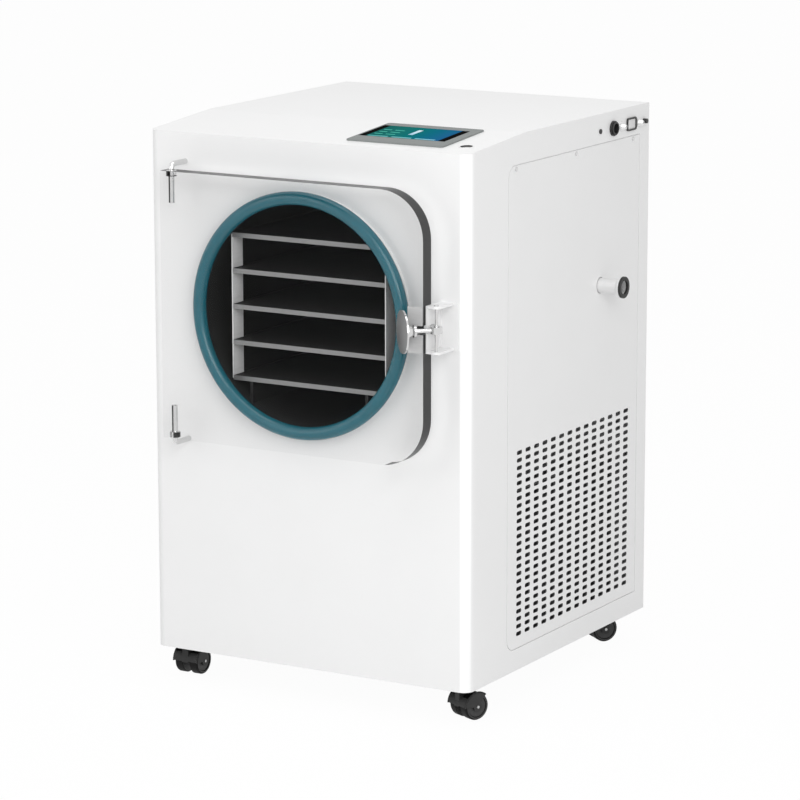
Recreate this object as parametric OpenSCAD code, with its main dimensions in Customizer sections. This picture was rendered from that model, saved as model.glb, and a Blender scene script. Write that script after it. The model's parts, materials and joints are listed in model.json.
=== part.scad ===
// Bench-height laboratory freeze dryer: a white sheet-metal cabinet on twin-wheel castors, a round
// vacuum chamber behind a clear acrylic door, a sloped top with a touch panel, and the refrigeration
// set behind slotted side panels.
// Millimetres, +Z up, the front faces -Y. The cabinet is drawn with X = 0 in its middle, Y = 0 on the
// front sheet and Z = 0 on the floor, and stand() then moves every piece to the shared origin.

/* [Cabinet] */
// width across the side sheets
body_w = 660; // [650:1:700]
// depth from the front sheet to the back of the rear panel
body_d = 688; // [680:1:760]
// height of the flat top above the underside of the cabinet
body_h = 973; // [971:1:1020]
// drop of the sloped top, from the flat down to the front edge
slope_drop = 15.7; // [8:0.1:24]
// run of the sloped top, from the front sheet back to the flat
slope_run = 201; // [198:1:230]
// outside radius of the two vertical front corners
corner_r = 20; // [12:1:24]
// thickness of the cabinet sheets
sheet_t = 2; // [1.5:0.1:2.5]
// thickness of the base plate that carries the castors and the compressor
base_t = 4; // [3:0.5:6]

/* [Side access panels] */
// front edge of the panel, from the front sheet
panel_front = 140; // [130:1:150]
// rear margin of the panel, from the back of the cabinet
panel_rear = 38; // [32:1:44]
// lower edge of the panel, above the underside of the cabinet
panel_low = 40; // [36:1:46]
// upper margin of the panel, below the flat top
panel_top = 54; // [53:1:58]
// shadow gap round the panel
panel_gap = 1.5; // [0.8:0.1:2.5]
// radius of the panel's two front corners
panel_corner = 25; // [15:1:35]
// width of the lip that the panel lies on
lip_w = 14; // [12:1:18]
// slots in one row of the vent
vent_columns = 14; // [8:1:14]
// rows of slots in the vent
vent_rows = 25; // [10:1:25]
// pitch of the slots along a row
vent_pitch_y = 32.2; // [28:0.1:33]
// pitch of the rows
vent_pitch_z = 13.9; // [12:0.1:15]
// length of one slot over its round ends
slot_len = 19.3; // [14:0.1:22]
// height of one slot
slot_h = 7.6; // [5:0.1:9]
// lowest row of slots, above the lower edge of the panel
vent_low = 27; // [24:1:36]
// diameter of a panel screw's head
screw_head_d = 8; // [6:0.5:9]
// height of a panel screw's head
screw_head_h = 1.6; // [1:0.1:2.5]
// inset of the screws from the upper edge of the panel
screw_inset = 5.5; // [5:0.5:7]
// inset of the outer screws from the ends of the panel
screw_end = 28; // [20:1:40]

/* [Chamber] */
// centre of the chamber across the cabinet
chamber_x = -2; // [-10:1:10]
// centre of the chamber above the underside of the cabinet
chamber_h = 649; // [640:1:660]
// inside radius of the chamber drum
drum_r = 209; // [208:1:212]
// wall of the chamber drum
drum_wall = 3; // [2:0.5:4]
// length of the chamber behind the front sheet
drum_len = 470; // [450:1:500]
// thickness of the chamber's back disc
drum_back = 6; // [4:0.5:10]
// thickness of the flange welded behind the rim
flange_t = 6; // [4:0.5:8]
// reach of the flange beyond the drum
flange_reach = 6; // [4:0.5:8]
// radius of the round section of the door gasket
gasket_r = 12; // [10:0.5:12]
// thickness of the insulation round the drum
jacket_t = 25; // [20:1:28]

/* [Rack] */
// number of shelves in the rack
shelf_count = 5; // [5:1:5]
// pitch of the shelves
shelf_pitch = 65; // [55:0.5:65]
// outside width of the rack over its side frames
rack_w = 320; // [300:1:322]
// depth of the rack
rack_d = 430; // [380:1:440]
// front of the rack, behind the front sheet
rack_front = 10; // [5:1:20]
// height of the edge bar round a shelf
shelf_edge = 8.5; // [6:0.5:9]
// thickness of a shelf's heated plate
shelf_plate = 4; // [3:0.5:5]
// width of the front and rear strips of a side frame
strip_w = 34; // [24:1:40]
// thickness of the side frames and of the shelf edges
strip_t = 2; // [1.5:0.1:3]

/* [Door] */
// width of the acrylic door
door_w = 540; // [530:1:545]
// height of the acrylic door
door_h = 485; // [480:1:490]
// lower edge of the door above the underside of the cabinet
door_low = 410; // [405:1:412]
// thickness of the acrylic
door_t = 28; // [24:1:30]
// gap between the gasket and the back of the closed door
seal_gap = 0.7; // [0.4:0.1:1.2]
// radius of the two corners on the latch side
door_corner = 85; // [60:1:100]
// hinge axis to the hinge-side edge of the door
hinge_edge = 16; // [14:1:20]
// hinge axis, from the middle of the cabinet to its left
hinge_out = 251.5; // [250:0.5:256]
// diameter of the hinge pins
hinge_pin_d = 10; // [8:0.5:11]
// depth of a hinge pin in the door
hinge_depth = 58; // [40:1:65]
// outside diameter of the hinge bushes
bush_d = 19; // [17:0.5:22]
// height of the hinge bushes
bush_h = 10; // [8:0.5:14]
// gap between the arms of the hinge pins and the edges of the door
arm_gap = 6; // [4:0.5:9]
// inside bend radius of a hinge pin
bend_r = 4; // [3:0.5:6]

/* [Latch] */
// latch pin, from the middle of the cabinet to its right
latch_x = 291; // [290:0.5:294]
// middle of the latch above the underside of the cabinet
latch_h = 656; // [650:1:662]
// diameter of the latch pin
latch_pin_d = 6; // [5:0.5:7]
// overall height of the latch bracket
bracket_h = 84; // [70:1:90]
// thickness of the latch bracket's plates
bracket_t = 4; // [3:0.5:4]
// outside diameter of the swing bolt's eye
eye_d = 21; // [17:0.5:21]
// diameter of the swing bolt
bolt_d = 8; // [6:0.5:8]
// swing of the bolt at rest, to the left of straight ahead
latch_rest = 45; // [43:1:46]
// radius of the clamp washer
washer_r = 11; // [9:0.5:11]
// thickness of the clamp washer
washer_t = 4; // [3:0.5:5]
// diameter of the knob
knob_d = 76; // [60:1:76]
// thickness of the knob's rim
knob_rim = 3; // [2:0.5:4]
// rise of the knob's domed face over its rim
knob_dome = 3; // [2:0.5:6]
// width of the strike plate on the door
strike_w = 28; // [22:1:34]
// height of the strike plate
strike_h = 81; // [60:1:90]
// thickness of the strike plate
strike_t = 4; // [3:0.5:4]
// height of the notch that the bolt drops into
notch_h = 16; // [14:0.5:18]
// depth of the notch in the strike plate
notch_deep = 14; // [12:0.5:16]

/* [Controls] */
// width of the touch panel's bezel
hmi_w = 196; // [180:1:204]
// depth of the touch panel's bezel, down the slope
hmi_d = 152; // [130:1:156]
// height of the bezel over the top cover
hmi_t = 6; // [4:0.5:9]
// centre of the touch panel, from the middle of the cabinet to its right
hmi_x = 160; // [150:1:162]
// centre of the touch panel, behind the front sheet
hmi_y = 110; // [105:1:115]
// width of the screen
screen_w = 176; // [160:1:178]
// depth of the screen, down the slope
screen_d = 98; // [90:1:110]
// centre of the screen above the bezel's own centre, up the slope
screen_up = 12; // [0:1:14]
// push button, from the middle of the cabinet to its right
button_x = 293; // [290:1:296]
// push button, behind the front sheet
button_y = 56; // [52:1:60]
// diameter of the push button's ring
button_ring_d = 25; // [24:0.5:28]
// diameter of the push button's cap
button_cap_d = 17; // [14:0.5:18]
// travel of the push button
button_travel = 2.5; // [1.5:0.1:3]

/* [Side fittings] */
// vacuum port, in front of the back of the cabinet
port_rear = 193; // [185:1:200]
// vacuum port above the underside of the cabinet
port_h = 656; // [650:1:662]
// outside diameter of the vacuum port's tube
port_tube_d = 28; // [27:0.5:30]
// bore of the vacuum port
port_bore_d = 24; // [20:0.5:25]
// outside diameter of the clamping flange on the port
port_flange_d = 40; // [36:0.5:44]
// how far the vacuum port stands out of the side
port_out = 50; // [40:1:60]
// row of connectors, below the flat top
row_down = 32; // [30:1:34]
// diameter of the round signal socket
socket_d = 28; // [24:0.5:29]
// how far the signal socket stands out of the side
socket_out = 7; // [5:0.5:12]
// bore of a hose nozzle
nozzle_bore_d = 6; // [4:0.5:7]
// outside diameter of a hose nozzle's barbs
nozzle_d = 11; // [10:0.5:12]
// how far a hose nozzle stands out of the side
nozzle_out = 26; // [20:1:32]
// width and height of the square data port
data_port_w = 26; // [24:1:28]
// thickness of the power inlet's flange on the rear panel
inlet_t = 3; // [2:0.5:4]

/* [Refrigeration] */
// width of the condenser along the side of the cabinet
condenser_w = 400; // [340:1:420]
// height of the condenser
condenser_h = 322; // [300:1:330]
// thickness of the condenser core
condenser_t = 44; // [36:1:50]
// number of fins shown on the condenser
fin_count = 20; // [10:1:24]
// tip diameter of the cooling fan
fan_d = 250; // [220:1:260]
// number of fan blades
fan_blades = 5; // [4:1:6]
// pitch of the fan blades
blade_angle = 30; // [20:1:34]
// diameter of the compressor shell
compressor_d = 170; // [140:1:180]
// height of the compressor with its domes
compressor_h = 210; // [190:1:240]

/* [Castors] */
// height of the cabinet's underside above the floor
castor_h = 62; // [61:0.5:68]
// radius of the castor wheels
wheel_r = 25; // [22:0.5:25]
// width of one wheel
wheel_w = 17.5; // [15:0.5:19]
// gap between the wheels, filled by the housing's web
web_gap = 14; // [14:0.5:18]
// wheel axle behind the swivel axis
castor_trail = 20; // [17:0.5:20]
// side of the square castor plate
plate_w = 46; // [44:1:52]
// thickness of the castor plate
plate_t = 2.5; // [2:0.5:3]
// diameter of the swivel's king pin
king_d = 7; // [6:0.5:7]
// front castors' swivel axis, in from the side sheets
front_in_x = 40; // [36:1:46]
// front castors' swivel axis, behind the front sheet
front_in_y = 42; // [36:1:48]
// rear castors' swivel axis, in from the side sheets
rear_in_x = 83; // [76:1:88]
// rear castors' swivel axis, in front of the back of the cabinet
rear_in_y = 58; // [50:1:62]

/* [Fits] */
// radial clearance of a turning or sliding fit
run_fit = 0.05; // [0.02:0.01:0.1]
// side clearance of pieces that are dropped into a cut-out
drop_fit = 0.2; // [0.1:0.05:0.4]
// air between a wheel, boss or blade and the piece beside it
air = 0.5; // [0.4:0.1:0.8]

/* [Hidden] */
$fn = 96;
eps = 1;

// levels and half sizes of the cabinet
under = castor_h;
half_w = body_w / 2;
top_z = under + body_h;
slope_angle = atan2(slope_drop, slope_run);
deck_t = 3;
saddle_seat = 6;
saddle_w = 300;
saddle_h = 50;
saddle_t = 12;

// side access panels
panel_y0 = panel_front;
panel_y1 = body_d - panel_rear;
panel_z0 = under + panel_low;
panel_z1 = top_z - panel_top;
panel_mid = (panel_y0 + panel_y1) / 2;
lip_weld = 8;
screw_d = 4;
screw_end_y = [panel_y0 + screw_end, panel_mid, panel_y1 - screw_end];
rear_screw_x = half_w - 2 * sheet_t - 8;
rear_screw_z = [under + 30, under + body_h / 2, top_z - 30];

// chamber, gasket and rack
chamber_z = under + chamber_h;
drum_or = drum_r + drum_wall;
rim_r = drum_r + drum_wall / 2;
jacket_or = drum_or + jacket_t;
deck_z = chamber_z - jacket_or - saddle_seat;
gasket_lift = 0.3;
rim_out = flange_t + gasket_r;
rack_bottom = chamber_z - (shelf_count - 1) / 2 * shelf_pitch - shelf_edge / 2;
side_h = (shelf_count - 1) * shelf_pitch + 2;
rail_t = 6;
rail_x = rack_w / 2 - 40;
mat_recess = 1;

// door, hinge and latch
door_gap = rim_out + gasket_lift + gasket_r + seal_gap;
door_front = door_gap + door_t;
hinge_y = door_gap + door_t / 2;
door_x0 = -hinge_out - hinge_edge;
door_x1 = door_x0 + door_w;
door_z0 = under + door_low;
door_z1 = door_z0 + door_h;
pin_r = hinge_pin_d / 2;
arm_z = arm_gap + pin_r;
latch_y = hinge_y;
latch_z = under + latch_h;
web_x = door_x1 + 1.2;
web_t = bracket_t - 1;
ear_r = 10;
web_front = latch_y + ear_r - 3;
eye_h = bolt_d + 4;
clip_t = 2;
strike_x1 = door_x1 - 0.5;
knob_r = knob_d / 2;
washer_at = (door_t / 2 + strike_t + air + washer_r * sin(latch_rest)) / cos(latch_rest);
knob_at = (door_t / 2 + air + knob_r * sin(latch_rest)) / cos(latch_rest);
knob_front = knob_at + knob_rim;
neck_r = 8;
bolt_end = knob_at;

// controls and side fittings
button_cap_h = 7.5;
button_ring_h = 2.5;
button_floor = -6;
screen_seat = 3;
row_z = top_z - row_down;
port_y = body_d - port_rear;
port_z = under + port_h;
port_ring_t = 4;
socket_y = body_d - 148;
nozzle_y = [body_d - 118, body_d - 48];
data_port_y = body_d - 78;
plug_y = [body_d - 199, body_d - 23];
inlet_x = -230;
inlet_z = under + 120;

// refrigeration set
condenser_x = half_w - 2 * sheet_t - 12 - condenser_t;
machine_z = under + base_t;
fan_z = machine_z + condenser_h / 2;
shroud_t = 3;
duct_r = fan_d / 2 + 6;
duct_l = 44;
fan_x = condenser_x - 18;
hub_r = 34;

// castors
race_t = 3;
race_r = 14;
swivel_gap = 0.3;
race_z = castor_h - plate_t - race_t;
king_z = 36;
housing_top = race_z - swivel_gap;
web_t_castor = web_gap - 2 * air;
hood_in = wheel_r + 2 * air;
hood_out = hood_in + 2.5;
axle_d = 5;
castor_x = [half_w - front_in_x, front_in_x - half_w, half_w - rear_in_x, rear_in_x - half_w];
castor_y = [front_in_y, front_in_y, body_d - rear_in_y, body_d - rear_in_y];
castor_turn = [-24, 0, -38, 14];

// the shared origin lies under the middle of the part's box
reach_left = half_w + screw_head_h;
reach_right = half_w + port_out;
reach_front = latch_y + knob_front * cos(latch_rest) + knob_r * sin(latch_rest);
reach_rear = body_d + inlet_t;
mid_x = (reach_right - reach_left) / 2;
mid_y = (reach_rear - reach_front) / 2;

function slope_z(y) = top_z - slope_drop + y * slope_drop / slope_run;

module stand() {
    translate([-mid_x, -mid_y, 0]) children();
}

// an outline drawn in (Y, Z), extruded along X from x0 for the length w
module along_x(x0, w) {
    translate([x0, 0, 0]) rotate([90, 0, 90]) linear_extrude(height = w) children();
}

// a turned piece with its axis along +X
module turned_x(x, y, z) {
    translate([x, y, z]) rotate([0, 90, 0]) children();
}

// a turned piece on the chamber's axis, from the front sheet back
module turned_chamber(y) {
    translate([chamber_x, y, chamber_z]) rotate([-90, 0, 0]) children();
}

// a piece set square on the sloped top, its own +Z off the sheet
module on_slope(x, y) {
    translate([x, y, slope_z(y)]) rotate([slope_angle, 0, 0]) children();
}

// a piece carried by the swing bolt, its own +Z out along the bolt
module on_bolt() {
    translate([latch_x, -latch_y, latch_z]) rotate([0, 0, -latch_rest]) rotate([90, 0, 0]) children();
}

module ring(r_out, r_in, h) {
    difference() {
        cylinder(r = r_out, h = h);
        translate([0, 0, -eps]) cylinder(r = r_in, h = h + 2 * eps);
    }
}

module rounded(w, d, r) {
    translate([-w / 2 + r, -d / 2]) square([w - 2 * r, d]);
    translate([-w / 2, -d / 2 + r]) square([w, d - 2 * r]);
    for (x = [-1, 1], y = [-1, 1]) translate([x * (w / 2 - r), y * (d / 2 - r)]) circle(r = r);
}

module obround(w, h) {
    square([w - h, h], center = true);
    for (s = [-1, 1]) translate([s * (w - h) / 2, 0]) circle(r = h / 2, $fn = 24);
}

// ---------------------------------------------------------------- cabinet

module footprint() {
    translate([-half_w, corner_r]) square([body_w, body_d - corner_r]);
    translate([-half_w + corner_r, 0]) square([body_w - 2 * corner_r, corner_r]);
    for (s = [-1, 1]) translate([s * (half_w - corner_r), corner_r]) circle(r = corner_r);
}

// the wrap's inner face, run out past the back so that the wrap stays open there
module inner_footprint() {
    translate([-half_w + sheet_t, corner_r]) square([body_w - 2 * sheet_t, body_d]);
    translate([-half_w + corner_r, sheet_t]) square([body_w - 2 * corner_r, corner_r]);
    for (s = [-1, 1]) translate([s * (half_w - corner_r), corner_r]) circle(r = corner_r - sheet_t);
}

// a flat plate inside the wrap, its front corners cut to clear the bends
module floor_outline(side) {
    polygon([
        [-side, corner_r], [-half_w + corner_r, sheet_t], [half_w - corner_r, sheet_t], [side, corner_r],
        [side, body_d - sheet_t], [-side, body_d - sheet_t]
    ]);
}

// a band under the top's profile in (Y, Z), as deep as depth
module top_profile(depth) {
    polygon([
        [-eps, slope_z(-eps)], [slope_run, top_z], [body_d + eps, top_z],
        [body_d + eps, top_z - depth], [slope_run, top_z - depth], [-eps, slope_z(-eps) - depth]
    ]);
}

// outline of a side opening in (Y, Z), or of its panel or lip when the edge is moved in
module side_opening(inset) {
    r = panel_corner - inset;
    y0 = panel_y0 + inset;
    z0 = panel_z0 + inset;
    w = panel_y1 - panel_y0 - 2 * inset;
    h = panel_z1 - panel_z0 - 2 * inset;
    translate([y0 + r, z0]) square([w - r, h]);
    translate([y0, z0 + r]) square([w, h - 2 * r]);
    for (z = [z0 + r, z0 + h - r]) translate([y0 + r, z]) circle(r = r);
}

module panel_screw_holes() {
    for (y = screw_end_y) translate([y, panel_z1 - panel_gap - screw_inset]) circle(d = screw_d + 2 * run_fit);
}

// one side of the wrap: the lip behind the opening
module side_lip() {
    along_x(half_w - 2 * sheet_t, sheet_t) difference() {
        side_opening(-lip_weld);
        side_opening(lip_w);
        panel_screw_holes();
    }
}

module side_cut() {
    along_x(half_w - sheet_t - eps / 2, 2 * sheet_t) side_opening(0);
}

module fitting_holes() {
    turned_x(half_w - 3 * sheet_t, socket_y, row_z) cylinder(d = socket_d - 6 + 2 * drop_fit, h = 5 * sheet_t);
    for (y = nozzle_y) {
        turned_x(half_w - 3 * sheet_t, y, row_z) cylinder(d = nozzle_d - 3 + 2 * run_fit, h = 5 * sheet_t);
    }
    for (y = plug_y) {
        turned_x(half_w - 3 * sheet_t, y, row_z) cylinder(d = 4 + 2 * run_fit, h = 5 * sheet_t);
    }
    hole_w = data_port_w - 4 + 2 * drop_fit;
    translate([half_w, data_port_y, row_z]) cube([6 * sheet_t, hole_w, hole_w], center = true);
}

// front sheet and both sides, folded from one sheet, with the lips behind the side openings
module shell() {
    cut_h = 3 * (slope_drop + sheet_t);
    color("white") stand() difference() {
        union() {
            difference() {
                translate([0, 0, under]) linear_extrude(height = body_h) difference() {
                    footprint();
                    inner_footprint();
                }
                along_x(-half_w - eps, body_w + 2 * eps) translate([0, cut_h - sheet_t]) top_profile(cut_h);
                turned_chamber(-sheet_t) cylinder(r = drum_or + drop_fit, h = 3 * sheet_t);
                side_cut();
                mirror([1, 0, 0]) side_cut();
            }
            side_lip();
            mirror([1, 0, 0]) side_lip();
        }
        fitting_holes();
    }
}

// the sloped and flat top in one sheet, cut out for the touch panel and the button
module top_cover() {
    color("white") stand() difference() {
        intersection() {
            translate([0, 0, under]) linear_extrude(height = body_h + eps) footprint();
            along_x(-half_w - eps, body_w + 2 * eps) top_profile(sheet_t);
        }
        on_slope(hmi_x, hmi_y) cube([hmi_w - 12 + 2 * drop_fit, hmi_d - 12 + 2 * drop_fit, 6 * sheet_t], center = true);
        on_slope(button_x, button_y) translate([0, 0, -3 * sheet_t])
            cylinder(d = button_ring_d - 3 + 2 * run_fit, h = 6 * sheet_t);
    }
}

module rear_panel() {
    color("white") stand() difference() {
        translate([-half_w + sheet_t, body_d - sheet_t, under])
            cube([body_w - 2 * sheet_t, sheet_t, body_h - sheet_t]);
        translate([inlet_x, body_d, inlet_z]) cube([34 + 2 * drop_fit, 4 * sheet_t, 24 + 2 * drop_fit], center = true);
        for (s = [-1, 1], z = rear_screw_z) {
            translate([s * rear_screw_x, body_d + eps, z]) rotate([90, 0, 0])
                cylinder(d = screw_d + 2 * run_fit, h = 3 * sheet_t);
        }
    }
}

module base_plate() {
    color("gainsboro") stand() translate([0, 0, under])
        linear_extrude(height = base_t) floor_outline(half_w - sheet_t);
}

// every slot of the vent in one row-and-column pattern, in (Y, Z)
module vent_slots() {
    for (i = [0 : vent_columns - 1], j = [0 : vent_rows - 1]) {
        y = panel_mid + (i - (vent_columns - 1) / 2) * vent_pitch_y;
        translate([y, panel_z0 + vent_low + j * vent_pitch_z]) obround(slot_len, slot_h);
    }
}

module access_panel(with_port) {
    along_x(half_w - sheet_t, sheet_t) difference() {
        side_opening(panel_gap);
        vent_slots();
        panel_screw_holes();
        if (with_port) translate([port_y, port_z]) circle(d = port_tube_d + 2 * eps);
    }
}

module right_access_panel() {
    color("whitesmoke") stand() access_panel(true);
}

module left_access_panel() {
    color("whitesmoke") stand() mirror([1, 0, 0]) access_panel(false);
}

// pan-head screws, head and shank, of both side panels and the rear panel
module panel_screw() {
    cylinder(d = screw_head_d, h = screw_head_h);
    translate([0, 0, -3 * sheet_t]) cylinder(d = screw_d, h = 3 * sheet_t + eps);
}

module panel_screws() {
    color("silver") stand() {
        for (s = [0, 1], y = screw_end_y) {
            mirror([s, 0, 0]) turned_x(half_w, y, panel_z1 - panel_gap - screw_inset) panel_screw();
        }
        for (s = [-1, 1], z = rear_screw_z) {
            translate([s * rear_screw_x, body_d, z]) rotate([-90, 0, 0]) panel_screw();
        }
    }
}

// the shelf over the machine compartment, with the two saddles that carry the chamber
module chamber_deck() {
    color("silver") stand() {
        translate([0, 0, deck_z - deck_t]) linear_extrude(height = deck_t)
            floor_outline(half_w - 2 * sheet_t - air);
        difference() {
            for (y = [60, drum_len - 90]) {
                translate([chamber_x - saddle_w / 2, y, deck_z - eps / 2])
                    cube([saddle_w, saddle_t, saddle_h]);
            }
            turned_chamber(-eps) cylinder(r = jacket_or, h = body_d);
        }
    }
}

// ---------------------------------------------------------------- chamber and rack

// the bore that leads from the chamber to the vacuum port
module port_bore(d, x0) {
    turned_x(x0, port_y, port_z) cylinder(d = d, h = half_w + port_out + eps - x0);
}

module rack_rail(s) {
    intersection() {
        turned_chamber(rack_front) cylinder(r = drum_r + drum_wall / 2, h = drum_len - rack_front + eps);
        translate([chamber_x + s * rail_x - rail_t / 2, 0, chamber_z - drum_or])
            cube([rail_t, body_d, rack_bottom - chamber_z + drum_or]);
    }
}

// welded drum with its rim, front flange, back disc and the two rails under the rack
module chamber_drum() {
    color("dimgray") stand() difference() {
        union() {
            turned_chamber(-rim_out) ring(drum_or, drum_r, rim_out + drum_len + eps);
            turned_chamber(drum_len) cylinder(r = drum_or, h = drum_back);
            turned_chamber(-flange_t) ring(drum_or + flange_reach, drum_or - eps, flange_t);
            for (s = [-1, 1]) rack_rail(s);
        }
        port_bore(port_bore_d, chamber_x);
    }
}

// foam shell round the drum and behind its back disc
module chamber_jacket() {
    color("khaki") stand() difference() {
        turned_chamber(sheet_t) cylinder(r = jacket_or, h = drum_len + drum_back + jacket_t - sheet_t);
        turned_chamber(0) cylinder(r = drum_or, h = drum_len + drum_back);
        port_bore(port_tube_d + 2 * drop_fit, chamber_x);
    }
}

// round-section gasket with the groove that grips the drum's rim
module door_gasket() {
    color("teal") stand() turned_chamber(0) difference() {
        translate([0, 0, -rim_out - gasket_lift]) rotate_extrude() translate([rim_r, 0]) circle(r = gasket_r, $fn = 48);
        translate([0, 0, -rim_out]) ring(drum_or + run_fit, drum_r - run_fit, rim_out);
    }
}

// one flat side frame: front and rear strips joined by a rail at each shelf
module rack_side(s) {
    x0 = s > 0 ? rack_w / 2 - strip_t : -rack_w / 2;
    window_h = shelf_pitch - shelf_edge;
    color("lightgray") stand() along_x(chamber_x + x0, strip_t) difference() {
        translate([rack_front, chamber_z - side_h / 2]) square([rack_d, side_h]);
        for (k = [0 : shelf_count - 2]) {
            z = chamber_z + (k + 0.5 - (shelf_count - 1) / 2) * shelf_pitch;
            translate([rack_front + strip_w, z - window_h / 2]) square([rack_d - 2 * strip_w, window_h]);
        }
    }
}

module rack_side_left() {
    rack_side(-1);
}

module rack_side_right() {
    rack_side(1);
}

// one heated shelf: the plate with an edge bar all round, open below
module shelf(k) {
    w = rack_w - 2 * strip_t;
    z = rack_bottom + (k - 1) * shelf_pitch;
    color("gray") stand() translate([chamber_x - w / 2, rack_front, z]) difference() {
        cube([w, rack_d, shelf_edge]);
        translate([strip_t, strip_t, shelf_edge - mat_recess])
            cube([w - 2 * strip_t, rack_d - 2 * strip_t, mat_recess + eps]);
        translate([strip_t, strip_t, -eps])
            cube([w - 2 * strip_t, rack_d - 2 * strip_t, shelf_edge - mat_recess - shelf_plate + eps]);
    }
}

module shelf_1() {
    shelf(1);
}

module shelf_2() {
    shelf(2);
}

module shelf_3() {
    shelf(3);
}

module shelf_4() {
    shelf(4);
}

module shelf_5() {
    shelf(5);
}

// ---------------------------------------------------------------- door and hinge

// the door in (X, Z): square on the hinge side, round on the latch side
module door_outline() {
    translate([door_x0, door_z0]) square([door_w - door_corner, door_h]);
    translate([door_x0, door_z0 + door_corner]) square([door_w, door_h - 2 * door_corner]);
    for (z = [door_z0 + door_corner, door_z1 - door_corner]) {
        translate([door_x1 - door_corner, z]) circle(r = door_corner);
    }
}

// drawn once for the upper hinge, and mirrored in the door's mid height for the lower one
module at_each_hinge() {
    mid_z = (door_z0 + door_z1) / 2;
    for (s = [0, 1]) {
        translate([-hinge_out, -hinge_y, mid_z]) mirror([0, 0, s]) translate([0, 0, door_h / 2]) children();
    }
}

module door() {
    color([0.8, 0.85, 0.86, 0.4]) stand() difference() {
        translate([0, -door_gap, 0]) rotate([90, 0, 0]) linear_extrude(height = door_t) door_outline();
        at_each_hinge() translate([0, 0, -hinge_depth]) cylinder(r = pin_r + air, h = hinge_depth + eps);
        at_each_hinge() translate([0, 0, -bush_h]) cylinder(d = bush_d, h = bush_h + eps);
        translate([door_x1 - notch_deep / 2, -hinge_y, latch_z]) cube([notch_deep + eps, door_t + 2 * eps, notch_h], center = true);
    }
}

module hinge_bushes() {
    color("silver") stand() at_each_hinge() translate([0, 0, -bush_h]) ring(bush_d / 2, pin_r + run_fit, bush_h);
}

// one bent rod: down into the door, round the bend and back into the front sheet
module hinge_pin() {
    bend = bend_r + pin_r;
    translate([0, 0, -hinge_depth]) cylinder(r = pin_r, h = hinge_depth + arm_z - bend);
    translate([0, bend, arm_z - bend]) rotate([90, 0, -90]) rotate_extrude(angle = 90) translate([bend, 0]) circle(r = pin_r);
    translate([0, bend, arm_z]) rotate([-90, 0, 0]) cylinder(r = pin_r, h = hinge_y - bend);
}

module hinge_pins() {
    color("silver") stand() at_each_hinge() hinge_pin();
}

// ---------------------------------------------------------------- latch

module strike_plate() {
    color("silver") stand() difference() {
        translate([strike_x1 - strike_w, -door_front - strike_t, latch_z - strike_h / 2])
            cube([strike_w, strike_t, strike_h]);
        translate([strike_x1 - notch_deep + notch_h / 2, -door_front, latch_z]) {
            rotate([90, 0, 0]) cylinder(d = notch_h, h = 4 * strike_t, center = true);
            translate([0, -2 * strike_t, -notch_h / 2]) cube([notch_deep, 4 * strike_t, notch_h]);
        }
    }
}

module ear_outline() {
    translate([web_x, -web_front]) square([latch_x - web_x, web_front]);
    translate([latch_x - eps, -latch_y]) square([ear_r + eps, latch_y]);
    translate([latch_x, -latch_y]) circle(r = ear_r);
}

// folded bracket: two ears for the pin, the slotted web beside the door and the foot on the front sheet
module latch_bracket() {
    z0 = latch_z - bracket_h / 2;
    color("lightgray") stand() difference() {
        union() {
            for (z = [z0, z0 + bracket_h - bracket_t]) {
                translate([0, 0, z]) linear_extrude(height = bracket_t) ear_outline();
            }
            translate([web_x, -web_front, z0]) cube([web_t, web_front, bracket_h]);
            translate([web_x, -web_t, z0]) cube([latch_x + 2 * ear_r - web_x, web_t, bracket_h]);
        }
        translate([latch_x, -latch_y, z0 - eps]) cylinder(d = latch_pin_d + 2 * run_fit, h = bracket_h + 2 * eps);
        along_x(web_x - eps, web_t + 2 * eps) translate([-0.75 * latch_y, latch_z]) obround(1.4 * notch_h, notch_h);
    }
}

// headed pin through both ears, with a clip above and below the bolt's eye
module latch_pin() {
    color("silver") stand() translate([latch_x, -latch_y, latch_z]) {
        translate([0, 0, -bracket_h / 2 - 2]) cylinder(d = latch_pin_d, h = bracket_h + 4);
        translate([0, 0, bracket_h / 2]) cylinder(d = latch_pin_d + 3, h = 2);
        for (z = [-eye_h / 2 - air / 2 - clip_t, eye_h / 2 + air / 2]) {
            translate([0, 0, z]) cylinder(d = latch_pin_d + 4, h = clip_t);
        }
    }
}

module swing_bolt() {
    color("silver") stand() difference() {
        union() {
            translate([latch_x, -latch_y, latch_z - eye_h / 2]) cylinder(d = eye_d, h = eye_h);
            on_bolt() cylinder(d = bolt_d, h = bolt_end);
        }
        translate([latch_x, -latch_y, latch_z - eye_h]) cylinder(d = latch_pin_d + 2 * run_fit, h = 2 * eye_h);
    }
}

module clamp_washer() {
    color("silver") stand() on_bolt() translate([0, 0, washer_at]) ring(washer_r, bolt_d / 2 + run_fit, washer_t);
}

// turned knob: a neck that flares into a wide disc with a low domed face
module clamp_knob() {
    neck_l = knob_at - washer_at - washer_t;
    dome_r = (knob_r * knob_r + knob_dome * knob_dome) / (2 * knob_dome);
    color("silver") stand() on_bolt() difference() {
        union() {
            translate([0, 0, knob_at - neck_l]) cylinder(r1 = neck_r, r2 = 2 * neck_r, h = neck_l);
            translate([0, 0, knob_at]) cylinder(r = knob_r, h = knob_rim);
            intersection() {
                translate([0, 0, knob_at]) cylinder(r = knob_r, h = knob_rim + 2 * knob_dome);
                translate([0, 0, knob_front + knob_dome - dome_r]) sphere(r = dome_r, $fn = 128);
            }
        }
        translate([0, 0, washer_at]) cylinder(d = bolt_d + 2 * run_fit, h = bolt_end - washer_at + run_fit);
    }
}

// ---------------------------------------------------------------- controls on the slope

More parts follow.
